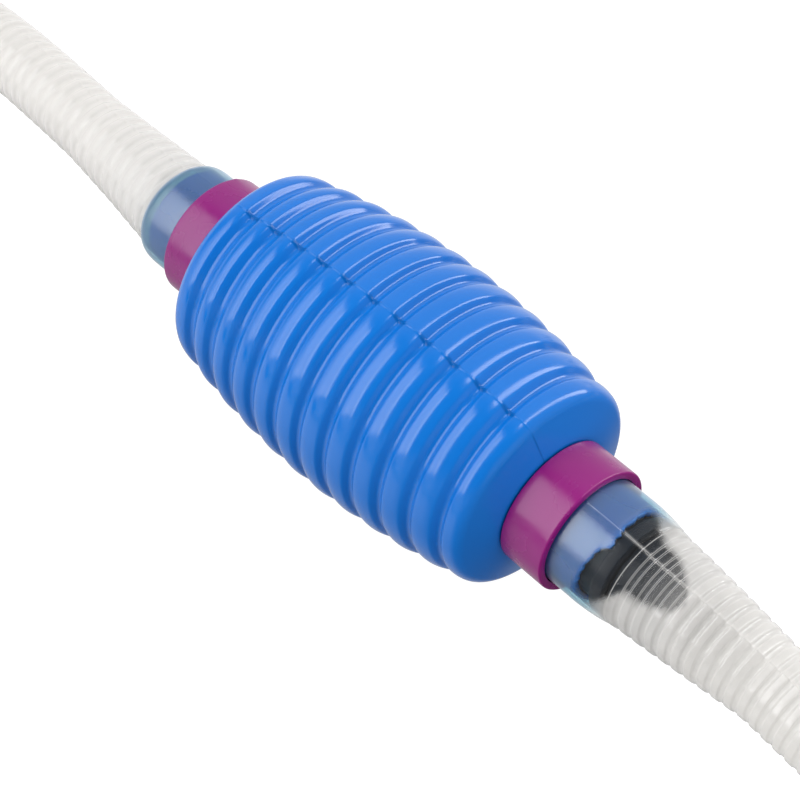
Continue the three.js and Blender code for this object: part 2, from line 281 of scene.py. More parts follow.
# ------------------------------------------------------------------ materials
def moulded_plastic(name, color, dark, rough, drift, grain=0.000015, wander=0.35, specular=0.5,
                    seam=False):
    """Opaque plastic. drift is how far its colour strays to dark, grain the depth of its fine
    skin, wander how far its roughness strays. seam dulls it and darkens its colour with painted
    shade by the "seam" attribute."""
    material, tree = new_material(name)
    vector = object_coords(tree)
    slow = noise(tree, vector, scale=38.0, detail=4.0, rough=0.55)
    stray = remap(tree, slow, from_range=(0.3, 0.7), to_range=(0.0, drift))
    surface = mix_color(tree, stray, color, dark)
    shader = add_node(tree, "BsdfPrincipled", {
        "Roughness": rough, "Specular IOR Level": specular, "Coat Roughness": 0.08,
    })
    if seam:
        # painted shade: the "seam" attribute darkens the colour towards 0.7 of dark
        seam_shade_amount = mesh_attribute(tree, "seam")
        surface = mix_color(tree, seam_shade_amount, surface, tuple(0.7 * c for c in dark))
        dulled = remap(tree, seam_shade_amount, from_range=(0.0, 1.0), to_range=(specular, specular * 0.1))
        set_inputs(tree, shader, {"Specular IOR Level": dulled})
    rub = noise(tree, vector, scale=140.0, detail=3.0, rough=0.5)
    rubbed = remap(tree, rub, from_range=(0.3, 0.7),
                   to_range=(rough * (1 - wander), rough * (1 + wander)))
    fine = noise(tree, vector, scale=900.0, detail=4.0, rough=0.6)
    set_inputs(tree, shader, {
        "Base Color": surface,
        "Roughness": rubbed,
        "Normal": bump(tree, fine, strength=0.6, distance=grain),
    })
    add_node(tree, "OutputMaterial", {"Surface": shader.outputs["BSDF"]})
    return material


def clear_plastic(name, tint, milk, rough, cloud, edge, haze=None, film=None, film_edge=0.0,
                  waves=0.0):
    """Thin clear plastic: light passes straight through, the skin reflects by angle and a milky
    share scatters. haze is that share face on, or None to take it from the "haze" attribute;
    cloud is how far it drifts, edge what it gains seen edge on. film is the milk's colour where
    the wall grips a coloured piece, by the "film" attribute, and film_edge the edge gain there.
    Where the "wet" attribute is 1 the wall clings and hardly shines. waves is the strength of
    slow ripples in the skin."""
    film_tint = (0.50, 0.81, 0.87)
    film_rough, film_shine = 0.13, 0.05     # what a full film adds to roughness and reflection
    face_shine, edge_shine = 0.046, 0.9     # the skin's reflection face on, and its gain edge on
    inside_shine, wet_shine = -0.8, -0.85   # the share gained from inside the wall, and when wet

    material, tree = new_material(name)
    vector = object_coords(tree)
    clouds = noise(tree, vector, scale=70.0, detail=4.0, rough=0.6)
    facing_node = add_node(tree, "LayerWeight", {"Blend": 0.5})
    facing = facing_node.outputs["Facing"]
    drift = remap(tree, clouds, from_range=(0.35, 0.65), to_range=(1 - cloud, 1 + cloud))
    base = math_node(tree, "MULTIPLY", drift,
                     mesh_attribute(tree, "haze") if haze is None else haze)
    gain = edge
    if film:
        grip = mesh_attribute(tree, "film")
        gain = math_node(tree, "MULTIPLY_ADD", grip, film_edge - edge, edge)
        milk_color = mix_color(tree, grip, milk, film)
    edge_gain = math_node(tree, "MULTIPLY_ADD", facing, gain, 1.0)
    share = add_node(tree, "Clamp", {"Value": math_node(tree, "MULTIPLY", base, edge_gain)})

    clear = add_node(tree, "BsdfTransparent", {"Color": tint})
    diffuse = add_node(tree, "BsdfDiffuse", {"Color": milk})
    translucent = add_node(tree, "BsdfTranslucent", {"Color": milk})
    glossy = add_node(tree, "BsdfGlossy", {"Roughness": rough, "Color": (1, 1, 1)})
    face_on = face_shine
    if film:
        set_inputs(tree, clear, {"Color": mix_color(tree, grip, tint, film_tint)})
        for scatter in (diffuse, translucent):
            set_inputs(tree, scatter, {"Color": milk_color})
        gripped = math_node(tree, "MULTIPLY_ADD", grip, film_rough, rough)
        set_inputs(tree, glossy, {"Roughness": gripped})
        face_on = math_node(tree, "MULTIPLY_ADD", grip, film_shine, face_shine)
    milky = mix_shader(tree, 0.5, diffuse.outputs[0], translucent.outputs[0])
    body = mix_shader(tree, share.outputs[0], clear.outputs[0], milky)

    fine = noise(tree, vector, scale=420.0, detail=3.0, rough=0.5)
    normal = bump(tree, fine, strength=0.5, distance=0.00002)
    if waves:
        slow = noise(tree, vector, scale=170.0, detail=2.0, rough=0.5)
        normal = bump(tree, slow, strength=waves, distance=0.0003, Normal=normal)
    for node in (glossy, diffuse, facing_node):
        set_inputs(tree, node, {"Normal": normal})

    inside = add_node(tree, "NewGeometry").outputs["Backfacing"]
    grazing = math_node(tree, "POWER", facing, 5.0)
    skin = math_node(tree, "MULTIPLY_ADD", grazing, edge_shine, face_on)
    for weaken, amount in ((inside, inside_shine), (mesh_attribute(tree, "wet"), wet_shine)):
        kept = math_node(tree, "MULTIPLY_ADD", weaken, amount, 1.0)
        skin = math_node(tree, "MULTIPLY", skin, kept)
    shader = mix_shader(tree, skin, body, glossy.outputs[0])
    add_node(tree, "OutputMaterial", {"Surface": shader})
    return material


MOULDED = {
    "bulb_blue": dict(color=(0.0015, 0.147, 0.55), dark=(0.0015, 0.127, 0.49), rough=0.17,
                      drift=0.3, grain=0.000006, wander=0.2, seam=True),
    "cap_blue": dict(color=(0.006, 0.105, 0.52), dark=(0.004, 0.085, 0.45), rough=0.34, drift=0.3),
    "ring_magenta": dict(color=(0.240, 0.003, 0.156), dark=(0.212, 0.002, 0.136), rough=0.25,
                         drift=0.4, wander=0.25),
    "valve_black": dict(color=(0.004, 0.009, 0.018), dark=(0.002, 0.005, 0.010), rough=0.36,
                        drift=0.6, specular=0.16),
    "valve_seal": dict(color=(0.012, 0.012, 0.013), dark=(0.006, 0.006, 0.006), rough=0.6,
                       drift=0.5),
    "valve_ball": dict(color=(0.62, 0.60, 0.54), dark=(0.55, 0.53, 0.47), rough=0.3, drift=0.4),
}
CLEAR = {
    "clear_hose": dict(tint=(0.99, 0.99, 0.985), milk=(0.865, 0.852, 0.835), rough=0.17,
                       cloud=0.06, edge=0.9, film=(0.08, 0.25, 0.50), film_edge=2.2, waves=0.08),
    "clear_tube": dict(tint=(0.93, 0.955, 0.955), milk=(0.42, 0.48, 0.48), rough=0.03,
                       cloud=0.1, edge=7.0, haze=0.04),
}
MATERIALS = {name: moulded_plastic(name, **look) for name, look in MOULDED.items()}
MATERIALS.update({name: clear_plastic(name, **look) for name, look in CLEAR.items()})

# ------------------------------------------------------------------ squeeze bulb
BULB_RADIUS, BARREL_FALL = 32.0, 0.00237    # the barrel's radius falls by BARREL_FALL * x * x
CREASES, FIRST_CREASE, CREASE_PITCH, CREASE_DEPTH = 11, -40.36, 8.28, 1.6
HALF_PITCH = CREASE_PITCH / 2
DOME_ROOT, NECK_ROOT = 16.2, 14.2       # radii where the end domes stop and the neck fillets start
SEAM_STEPS = (0.1, 0.25, 0.42, 0.6, 0.8, 1.05, 1.4, 1.9, 2.5, 3.2)     # degrees off each seam
TRIM_FROM, TRIM_LIMIT = 66.0, 76.0      # the trim reshapes the neck from here, and never passes


def barrel(x):
    return BULB_RADIUS - BARREL_FALL * x * x


def crease_section(crown, crown_deg, shoulder, floor, depth):
    """Half a bellows period as (x, drop), from the middle of a lobe to the middle of a crease:
    a gently crowned lobe, a rounded shoulder, a straight flank and a rounded floor. crown,
    shoulder and floor are radii. The flank's angle is searched for to meet the depth."""
    crown_end = math.radians(crown_deg)
    found = []
    for deg in np.linspace(25, 60, 1401):
        angle = math.radians(deg)
        x = (crown * math.sin(crown_end) + shoulder * (math.sin(angle) - math.sin(crown_end))
             + floor * math.sin(angle))
        flank = (HALF_PITCH - x) / math.cos(angle)
        drop = (crown * (1 - math.cos(crown_end))
                + shoulder * (math.cos(crown_end) - math.cos(angle))
                + flank * math.sin(angle) + floor * (1 - math.cos(angle)))
        if flank > 0:
            found.append((abs(drop - depth), angle, flank))
    _, angle, flank = min(found)
    section = [(0.0, 0.0)]

    def sweep(radius, start, end, count):
        x, drop = section[-1]
        for t in np.linspace(start, end, count)[1:]:
            section.append((x + radius * (math.sin(t) - math.sin(start)),
                            drop + radius * (math.cos(start) - math.cos(t))))

    sweep(crown, 0, crown_end, 8)
    sweep(shoulder, crown_end, angle, 9)
    x, drop = section[-1]
    for k in (0.35, 0.7, 1.0):
        section.append((x + k * flank * math.cos(angle), drop + k * flank * math.sin(angle)))
    sweep(-floor, angle, 0, 8)
    return np.array(section)


ROUND_RIB = crease_section(crown=4.2, crown_deg=21.0, shoulder=1.25, floor=1.9, depth=1.82)
FLAT_RIB = crease_section(crown=7.6, crown_deg=15.0, shoulder=1.5, floor=1.3, depth=CREASE_DEPTH)


def lobe_drop(x):
    """How far the surface lies below the barrel; the ribs turn from round to flat towards +X."""
    pitches = (np.asarray(x, float) - FIRST_CREASE) / CREASE_PITCH
    nearest = np.clip(np.round(pitches), 0, CREASES - 1)
    from_lobe = HALF_PITCH - np.abs(pitches - nearest) * CREASE_PITCH
    round_drop, flat_drop = (table_value(from_lobe, rib) for rib in (ROUND_RIB, FLAT_RIB))
    return round_drop + (flat_drop - round_drop) * smoothstep((x + 46.0) / 52.0)


def end_cap(x_neck, radius, dome_deg):
    """Points from the barrel round a shoulder of the radius and down a straight dome to DOME_ROOT
    at x_neck. Either end is worked out on +X and mirrored."""
    direction = math.copysign(1, x_neck)
    dome = math.radians(dome_deg)
    dome_normal = np.array([math.cos(dome), math.sin(dome)])
    root = np.array([abs(x_neck), DOME_ROOT])
    found = []
    for x in np.linspace(40.0, abs(x_neck), 3000):
        normal = np.array([2 * BARREL_FALL * x, 1.0])
        normal /= np.linalg.norm(normal)
        centre = np.array([x, barrel(x)]) - radius * normal
        found.append((abs((root - centre) @ dome_normal - radius), x, centre, normal))
    _, _, centre, normal = min(found, key=lambda fit: fit[0])
    start = math.atan2(normal[1], normal[0])
    end = math.atan2(dome_normal[1], dome_normal[0])
    points = [centre + radius * np.array([math.cos(t), math.sin(t)])
              for t in np.linspace(start, end, 14)]
    foot = points[-1]
    points += [foot + (root - foot) * k / 8 for k in range(1, 9)]
    return [[p[0] * direction, p[1]] for p in points]


def bulb_body(start, end):
    """The creased barrel between the two shoulders."""
    stations = [start]
    for i in range(CREASES):
        crease = FIRST_CREASE + i * CREASE_PITCH
        for from_lobe in FLAT_RIB[:, 0]:
            for x in (crease - (HALF_PITCH - from_lobe), crease + (HALF_PITCH - from_lobe)):
                if start + 0.05 < x < end - 0.05:
                    stations.append(round(float(x), 5))
    stations.append(end)
    stations = sorted(set(stations))
    return [[x, float(barrel(x) - lobe_drop(x))] for k, x in enumerate(stations)
            if k == 0 or x - stations[k - 1] > 0.02]


def bulb_profile():
    """The closed profile, and how many of its points are on the outside."""
    left_cap = end_cap(BULB_START, radius=4.0, dome_deg=16.0)
    right_cap = end_cap(BULB_END, radius=3.6, dome_deg=17.0)
    lip = NECK_START - 1.2
    outer = [[lip, NECK_RADIUS - 0.35], [lip + 0.1, NECK_RADIUS - 0.12], [lip + 0.4, NECK_RADIUS]]
    outer += [[x, NECK_RADIUS] for x in np.linspace(-70, -51.6, 10)]
    outer += [[BULB_START - 0.45, NECK_RADIUS + 0.1], [BULB_START - 0.12, NECK_RADIUS + 0.5],
              [BULB_START, NECK_ROOT]]
    outer += left_cap[:0:-1]
    outer += bulb_body(left_cap[0][0], right_cap[0][0])
    outer += right_cap[1:]
    outer += [[BULB_END, NECK_ROOT], [BULB_END + 0.12, NECK_RADIUS + 0.5],
              [BULB_END + 0.45, NECK_RADIUS + 0.1]]
    outer += [[x, NECK_RADIUS] for x in np.linspace(53.2, 74.2, 16)]
    outer += [[NECK_END - 0.5, NECK_RADIUS], [NECK_END - 0.2, NECK_RADIUS - 0.05],
              [NECK_END - 0.05, NECK_RADIUS - 0.2], [NECK_END, NECK_RADIUS - 0.5]]
    inner = [[NECK_END, NECK_BORE + 0.1], [NECK_END - 0.1, NECK_BORE]]
    inner += [[x, NECK_BORE] for x in np.linspace(74, 51, 8)]
    inner += [[49.6, 17.0], [47.6, 21.6], [44.5, 24.4]]
    inner += [[x, barrel(x) - CREASE_DEPTH - 1.5] for x in np.linspace(40, -42, 30)]
    inner += [[BULB_START + 3.8, 22.4], [BULB_START + 1.9, 16.4], [BULB_START + 1.5, NECK_BORE],
              [lip + 0.1, NECK_BORE], [lip, NECK_BORE + 0.1]]
    return np.array(outer + inner), len(outer)


def bulb_angles():
    """Even angles, with closer ones across the two seams. An even angle lies right at the 3.6
    degree limit, so the distance is taken with math, whose rounding decides it."""
    angles = list(even(216))
    for seam in (SEAM, SEAM + math.pi):
        angles = [a for a in angles
                  if abs(math.atan2(math.sin(a - seam), math.cos(a - seam))) > math.radians(3.6)]
        angles += [seam + math.radians(side * step) for side in (-1, 1) for step in SEAM_STEPS]
    return np.array(sorted(a % TAU for a in angles))


def bulb():
    profile, outer_count = bulb_profile()
    x, radius, angle = spread(profile, bulb_angles())
    outer = (np.arange(len(profile)) < outer_count)[:, None]
    body = outer & (x > BULB_START - 0.2) & (x < BULB_END + 0.2)
    groove = lobe_drop(x) / CREASE_DEPTH
    from_top_seam = angle_from(angle, SEAM) * radius

    # each seam: a fine raised line along the lobes and a narrow web across every crease; painted
    # shade darkens the web and the seam near the bulb's ends
    seam_shade = np.zeros_like(x)
    for seam, height in ((SEAM, 1.0), (SEAM + math.pi, 0.8)):
        across = angle_from(angle, seam) * radius
        ridge = 0.07 * height * bell(across, 0.22)
        web = 0.22 * height * bell(across, 0.42, 4) * groove
        end = smoothstep((barrel(x) - radius - 1.0) / 2.0) * (np.abs(x) > 44)
        # painted shade: how far the colour darkens over each web and along the seam near the ends
        crease_shade = (0.85 * bell(across, 0.62, 4) * smoothstep(groove * 2.2) * (1 - end)
                + 0.8 * bell(across, 0.20) * end)
        seam_shade = np.maximum(seam_shade, np.where(body, height * crease_shade, 0.0))
        radius = radius + np.where(body, ridge + web, 0.0)
    # the two mould halves are a hair out of line
    x = x + np.where(body & (np.abs(x) < 47), 0.07 * np.tanh(from_top_seam / 0.25), 0.0)

    cut = trimmed_end(np.degrees(angle))
    cut = cut + 0.12 * np.sin(angle * 23.0) + 0.08 * np.sin(angle * 41.0 + 1.0)
    reach = smoothstep((x - TRIM_FROM) / (NECK_END - TRIM_FROM))
    x = x + (np.minimum(cut, TRIM_LIMIT) - NECK_END) * reach

    grid = around_x(x, radius, angle)
    y = grid[..., 1].copy()
    lean = LEAN_ANGLE * smoothstep((x - 40.0) / (BULB_END - 40.0))
    grid[..., 0] = LEAN_X + (x - LEAN_X) * np.cos(lean) - y * np.sin(lean)
    grid[..., 1] = (x - LEAN_X) * np.sin(lean) + y * np.cos(lean)
    skin = add_mesh("bulb_skin", solid(grid), MATERIALS["bulb_blue"])
    add_attribute(skin, "seam", seam_shade)
    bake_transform(skin)
    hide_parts("squeeze_bulb")


bulb()

# ------------------------------------------------------------------ clamp rings
RING_RADIUS, RING_BORE, RING_WIDTH = 16.2, 14.3, 12.4


def clamp_ring(side, start, matrix, gate_deg, gate_end=True):
    """gate_deg and gate_end place a small raised gate mark; gate_end is the ring's +X rim."""
    end = start + RING_WIDTH
    corners = [[start, RING_BORE], [start, RING_RADIUS], [end, RING_RADIUS], [end, RING_BORE]]
    profile = closed_profile(corners, [0.3, 0.45, 0.45, 0.3], arc_steps=6, spacing=1.6)
    x, radius, angle = spread(profile, even(160))
    outer = radius > (RING_RADIUS + RING_BORE) / 2
    uneven = 0.03 * np.sin(2 * angle + 0.6) + 0.02 * np.sin(3 * angle)
    radius = radius + np.where(outer, uneven, 0.0)
    across = angle_from(angle, math.radians(gate_deg)) * radius
    gate = bell(across, 0.9) * bell(x - (end if gate_end else start), 0.8)
    radius = radius + np.where(outer, 0.16 * gate, 0.0)
    place(f"{side}_ring_band", solid(around_x(x, radius, angle)), "ring_magenta", matrix,
          f"{side}_ring", f"{side}_clamp_ring")


clamp_ring("inlet", -51.0 - RING_WIDTH, HERE, gate_deg=60, gate_end=False)
clamp_ring("outlet", 52.35, LEAN, gate_deg=150)
clamp_ring("nozzle", -143.6 - RING_WIDTH, NOZZLE, gate_deg=200)


# ------------------------------------------------------------------ hose centre lines
class Line:
    """Uniform Catmull-Rom curve through the stations, walked by arc length."""

    def __init__(self, stations):
        knots = np.array(stations, float)
        knots = np.vstack([2 * knots[0] - knots[1], knots, 2 * knots[-1] - knots[-2]])
        t = np.linspace(0, 1, 200, endpoint=False)[:, None]
        spans = []
        for i in range(1, len(knots) - 2):
            before, start, end, after = knots[i - 1:i + 3]
            leave, arrive = 0.5 * (end - before), 0.5 * (after - start)
            spans.append(
                (2 * start - 2 * end + leave + arrive) * t**3
                + (-3 * start + 3 * end - 2 * leave - arrive) * t**2 + leave * t + start
            )
        self.points = np.vstack(spans + [knots[-2][None, :]])
        steps = np.linalg.norm(np.diff(self.points, axis=0), axis=1)
        self.walked = np.concatenate([[0], np.cumsum(steps)])
        self.length = float(self.walked[-1])

    def at(self, distance):
        return np.stack([np.interp(distance, self.walked, self.points[:, k])
                         for k in range(3)], -1)

    def bend(self, grid):
        """Bends a straight grid, whose x is the distance along the line; its top stays up."""
        distance = grid[..., 0]
        reach = 0.6     # to each side, for the tangent
        behind = self.at(np.clip(distance - reach, 0, self.length))
        tangent = self.at(np.clip(distance + reach, 0, self.length)) - behind
        tangent /= np.linalg.norm(tangent, axis=-1, keepdims=True)
        side = np.cross(np.broadcast_to([0.0, 0.0, 1.0], tangent.shape), tangent)
        side /= np.linalg.norm(side, axis=-1, keepdims=True)
        rise = np.cross(tangent, side)
        return self.at(distance) + side * grid[..., 1:2] + rise * grid[..., 2:3]


def leaning(distance, z):
    """A point on the outlet's leaning axis, lifted to z."""
    return [LEAN_X + distance * math.cos(LEAN_ANGLE), distance * math.sin(LEAN_ANGLE), z]


# Stations [x, y, z], from the bulb outwards
OUTLET_LINE = Line([
    leaning(OUTLET_HOSE_START, 0), leaning(40, 0), leaning(73, -0.8), leaning(106, -3.6),
    [189, 3, -8.5], [227, 27, -14.5], [253, 65, -19.5], [262, 110, -21.9], [251, 154, -22.2],
    [219, 188, -22.2], [174, 205, -22.2], [142, 208.5, -22.2], [110, 209, -22.2],
    [66, 208, -22.1], [22, 206, -19.6], [0, 205, -17.9], [-22, 205, -17.9],
])
INLET_LINE = Line([
    [-51.2, 0, 0], [-61.6, 0, 0], [-72, 0.05, 0], [-82.5, 0.85, -0.05], [-93, 1.9, -0.2],
    [-114, 3.7, -0.5], [-135, 5.6, -1.2], [-158, 7.3, -2.4], [-181, 7.4, -4.4],
    [-204, 3.2, -7.4], [-226, -7, -11.2], [-243.5, -23, -15.2], [-255.5, -45, -18.8],
    [-261.5, -72, -21.2], [-262.1, -100, -22.2], [-260.5, -127, -22.2], [-253.5, -153, -21.8],
    [-239, -174.5, -19.4], [-221, -188, -15.8], [-204, -194.7, -13.2], [-187, -197.5, -11.5],
    [-170, -198, -11.0], [-156.7, -198, -11.0], [-143.4, -198, -11.0],
])

# ------------------------------------------------------------------ hoses
RIB_DEPTH = 0.31
LAST_RIB = 30.0         # from the hose's far end
SHARP_RIB = (0.42, 0.34)        # shares of a rib that are crest and side
SOFT_RIB = (0.20, 0.60)
# Places across one rib, in pitches from its crest
RIB_STATIONS = np.array([-0.5, -0.40, -0.34, -0.29, -0.24, -0.18, -0.09,
                         0.0, 0.09, 0.18, 0.24, 0.29, 0.34, 0.40])
# Radius over the crests: (distance from the bulb's end, radius)
OUTLET_HEAD = [
    (0, CUFF_RADIUS), (20.0, CUFF_RADIUS), (21.5, 14.03), (23.5, 13.88), (25.5, 13.68),
    (27.5, 13.36), (29.3, 13.0), (30.6, 12.82), (32.0, 12.68), (38.1, 12.25), (50.1, 11.2),
    (57.1, 10.5), (65.5, HOSE_RADIUS),
]
INLET_HEAD = [
    (0, CUFF_RADIUS), (13.0, CUFF_RADIUS), (15.5, 14.2), (20.4, 14.2), (22.0, 14.08),
    (23.1, 13.75), (23.9, 13.15), (24.4, 12.7), (25.2, 12.45), (29.0, 12.15), (44.5, 10.9),
    (63.5, HOSE_RADIUS),
]
# The same from the far end
TAIL = [(0, CUFF_RADIUS), (22.0, CUFF_RADIUS), (24.5, 13.8), (26.5, 13.1), (28.5, 12.7),
        (55.0, HOSE_RADIUS)]
# Where the outlet hose is stretched clear: (distance, middle in degrees, half width in degrees)
WINDOW = [
    (17.5, 122, 64), (24.0, 122, 64), (26.0, 122, 59), (28.0, 121, 48), (31.6, 113, 34),
    (35.6, 113, 33), (39.6, 115, 24), (42.5, 117, 15), (47.5, 118, -22),
]
# Haze left in the window: (distance, haze)
WINDOW_VEIL = [(30.0, 0.012), (32.0, 0.022), (36.0, 0.055), (40.0, 0.12), (44.0, 0.30)]


def rib_wave(ribs, form=SHARP_RIB):
    """1 on a rib's crest and 0 in the groove; ribs counts from the first rib."""
    crest, side = form
    return 1 - smoothstep((np.abs(ribs - np.round(ribs)) * 2 - crest) / side)


def hose_grid(line, head, first_rib, pitch, seam, form, swell):
    """The bent grid, with grids of distance, degrees about the line, and closeness to a rib's
    flank. seam scales the mould seam; swell deepens the grooves over the top."""
    ribs_start = first_rib - pitch * 0.5
    rib_count = int(round((line.length - LAST_RIB - first_rib) / pitch))
    ribs = first_rib + pitch * np.arange(rib_count + 1)
    ribs_end = ribs[-1] + pitch * 0.5
    stations = np.concatenate([
        np.linspace(0.0, ribs_start, 52)[:-1],
        (ribs[:, None] + RIB_STATIONS[None, :] * pitch).ravel(),
        np.linspace(ribs_end, line.length, 24),
    ])
    crest = table_value(stations, head + [(line.length - s, r) for s, r in TAIL[::-1]])
    ribbed = (stations > ribs_start) & (stations < ribs_end)
    wave = rib_wave((stations - first_rib) / pitch, form)
    outside = crest - np.where(ribbed, (1 - wave) * RIB_DEPTH, 0.0)
    inside = np.where(crest > CUFF_BORE, np.maximum(CUFF_BORE, crest - 1.15), outside - 0.85)
    profile = np.concatenate([np.stack([stations, outside], -1),
                              np.stack([stations[::-1], inside[::-1]], -1)])
    seam_angles = SEAM + np.radians([-3.2, -1.9, -0.9, 0.0, 0.9, 1.9, 3.2])
    distance, radius, angle = spread(profile, np.sort(np.concatenate([even(56), seam_angles])))

    outer = (np.arange(len(profile)) < len(stations))[:, None]
    across = angle_from(angle, SEAM) * radius
    place_in_ribs = (distance - first_rib) / pitch
    wave = rib_wave(place_in_ribs)
    thread = seam * 0.12 * bell(across, 0.35)
    knot = seam * 0.30 * bell(across, 0.75) * wave
    bridge = seam * 0.55 * RIB_DEPTH * bell(across, 0.6) * (1 - wave)
    degrees = np.degrees(angle)
    over_top = bell((degrees + 90) % 360 - 180, 42.0)
    cut = swell * over_top * (1 - rib_wave(place_in_ribs, form))
    on_ribs = (distance > ribs_start) & (distance < ribs_end)
    raised = thread + np.where(on_ribs, knot + bridge - cut, 0.0)
    radius = radius + np.where(outer, raised, 0.0)
    wave = np.where(distance > ribs_start, wave, 0.0)
    bent = line.bend(around_x(distance, radius, angle))
    return bent, distance, degrees, 4 * wave * (1 - wave)


def hose(side, line, head, first_rib, pitch, hazes, films, seam=1.0, form=SHARP_RIB, swell=0.0,
         window=None):
    """hazes and films are (distance, value). A window is stretched clear over the valve, but haze
    on the sides of its ribs paints pale highlight lines."""
    grid, distance, degrees, flank = hose_grid(line, head, first_rib, pitch, seam, form, swell)
    piece = place(f"{side}_hose_ribbed", solid(grid), "clear_hose", HERE, f"{side}_side",
                  f"{side}_hose")
    haze, film, wet = table_value(distance, hazes), table_value(distance, films), 0 * distance
    if window:
        middle = table_value(distance, window)
        half_width = table_value(distance, [(row[0], row[2]) for row in window])
        clear = 1 - smoothstep((np.abs(degrees - middle) - half_width + 5.0) / 11.0)
        past_neck = distance - (trimmed_end(degrees) - (LEAN_X + OUTLET_HOSE_START))
        clear = clear * smoothstep((past_neck + 0.25) / 0.8)
        thread = bell(degrees - math.degrees(SEAM), 1.2) * (distance > 24.0)
        # window haze, plus painted highlight lines on the rib sides and a pale seam thread
        haze_and_painted_lines = table_value(distance, WINDOW_VEIL) + 0.45 * flank ** 5 + 0.30 * thread
        haze = haze * (1 - clear) + clear * haze_and_painted_lines
        film = film * (1 - clear)
        wet = clear * (1 - flank ** 3)
    for name, values in (("haze", haze), ("film", film), ("wet", wet)):
        add_attribute(piece, name, values)


hose(
    "outlet", OUTLET_LINE, OUTLET_HEAD, first_rib=30.3, pitch=3.56,
    hazes=[(0, 0.19), (19.0, 0.15), (24, 0.14), (28, 0.30), (31.5, 0.55), (45, 0.65),
           (52, 0.50), (800, 0.48)],
    films=[(0, 1), (21, 1), (25.0, 0.25), (29, 0.0)],
    window=WINDOW,
)
hose(
    "inlet", INLET_LINE, INLET_HEAD, first_rib=27.3, pitch=4.05,
    hazes=[(0, 0.20), (22.2, 0.17), (24.5, 0.52), (28, 0.74), (60, 0.72), (110, 0.55),
           (800, 0.46)],
    films=[(0, 1), (22.6, 1), (24.4, 0.0)],
    seam=0.3, form=SOFT_RIB, swell=0.12,
)

# ------------------------------------------------------------------ check valves
BALL_RADIUS, BALL_X = 6.5, 21.15        # x from the valve's -X end
BALL_STEPS, BALL_COLS = 28, 48
# Profiles from the valve's -X end; the outlet's seat has a flange
SEAT_FRONT = [[0, 8.4], [0, 11.1], [5.8, 11.1], [5.8, 9.4], [8.2, 9.4], [8.2, 11.1]]
SEAT_FLANGE = [[14.9, 11.1], [14.9, 12.5], [17.9, 12.5]]
SEAT_PLAIN = [[17.9, 11.1]]
SEAT_BACK = [[17.9, 9.2], [21.0, 9.2], [21.0, 8.0], [17.0, 5.2], [15.0, 5.2], [11.0, 8.4]]
CAGE = [
    [18.3, 9.4], [18.3, 10.4], [24.0, 10.35], [24.4, 10.0], [25.2, 10.0], [25.6, 10.3],
    [35.0, 10.0], [35.0, 6.9], [33.0, 6.9], [32.4, 7.6], [21.4, 7.6], [21.4, 9.4],
]
BAR_X, BAR_HALF_LENGTH, BAR_HALF, BAR_BEVEL = 34.0, 7.3, 0.9, 0.25


def ball_mesh(centre):
    """A ball with poles on X and a faint line of flash round it in the XY plane."""
    latitudes = [math.pi * k / BALL_STEPS for k in range(1, BALL_STEPS)]
    profile = [[centre - BALL_RADIUS * math.cos(t), BALL_RADIUS * math.sin(t)] for t in latitudes]
    x, radius, angle = spread(profile, even(BALL_COLS))
    radius = radius + 0.04 * bell(np.sin(angle), 1 / 9) * (radius / BALL_RADIUS)
    rings = around_x(x, radius, angle).reshape(-1, 3).tolist()
    verts = [(centre - BALL_RADIUS, 0, 0), *rings, (centre + BALL_RADIUS, 0, 0)]
    around = [(j, (j + 1) % BALL_COLS) for j in range(BALL_COLS)]
    faces = [(0, 1 + k, 1 + j) for j, k in around]
    for i in range(len(profile) - 1):
        row = 1 + i * BALL_COLS
        above = row + BALL_COLS
        faces += [(row + j, row + k, above + k, above + j) for j, k in around]
    last_row = 1 + (len(profile) - 1) * BALL_COLS
    faces += [(len(verts) - 1, last_row + j, last_row + k) for j, k in around]
    return verts, faces


def cage_mesh(start):
    """A turned cup with two bevelled bars crossed over its mouth."""
    profile = closed_profile(np.array(CAGE) + [start, 0.0], 0.25, arc_steps=3, spacing=2.0)
    verts, faces = turned(profile, even(96))
    verts = verts.tolist()
    half, flat = BAR_HALF, BAR_HALF - BAR_BEVEL
    section = [(-flat, -half), (flat, -half), (half, -flat), (half, flat),
               (flat, half), (-flat, half), (-half, flat), (-half, -flat)]
    sides = len(section)
    for upright in (True, False):
        base = len(verts)
        for end in (-BAR_HALF_LENGTH, BAR_HALF_LENGTH):
            for depth, across in section:
                x = start + BAR_X + depth
                verts.append((x, across, end) if upright else (x, end, across))
        near = list(range(base, base + sides))
        far = [k + sides for k in near]
        bar = [(near[k], near[(k + 1) % sides], far[(k + 1) % sides], far[k])
               for k in range(sides)]
        bar += [tuple(near[::-1]), tuple(far)]
        faces += bar if upright else [face[::-1] for face in bar]
    return verts, faces


def valve(side, start, seat_edge, matrix):
    body = f"{side}_side"
    seat = np.array(SEAT_FRONT + seat_edge + SEAT_BACK) + [start, 0.0]
    profile = closed_profile(seat, 0.22, arc_steps=3, spacing=2.0)
    place(f"{side}_seat_turned", turned(profile, even(96)), "valve_black", matrix, body,
          f"{side}_valve_seat")
    seal = [[start + 7.0 + 0.85 * math.cos(t), 10.35 + 0.8 * math.sin(t)] for t in even(20)]
    place(f"{side}_seal_ring", turned(seal, even(80)), "valve_seal", matrix, body,
          f"{side}_valve_oring")
    place(f"{side}_ball_moulded", ball_mesh(start + BALL_X), "valve_ball", matrix,
          f"{side}_ball", f"{side}_valve_ball")
    place(f"{side}_cage_cup", cage_mesh(start), "valve_black", matrix, body,
          f"{side}_valve_cage")


valve("inlet", -70.5, SEAT_PLAIN, HERE)
valve("outlet", 61.3, SEAT_FLANGE, LEAN)

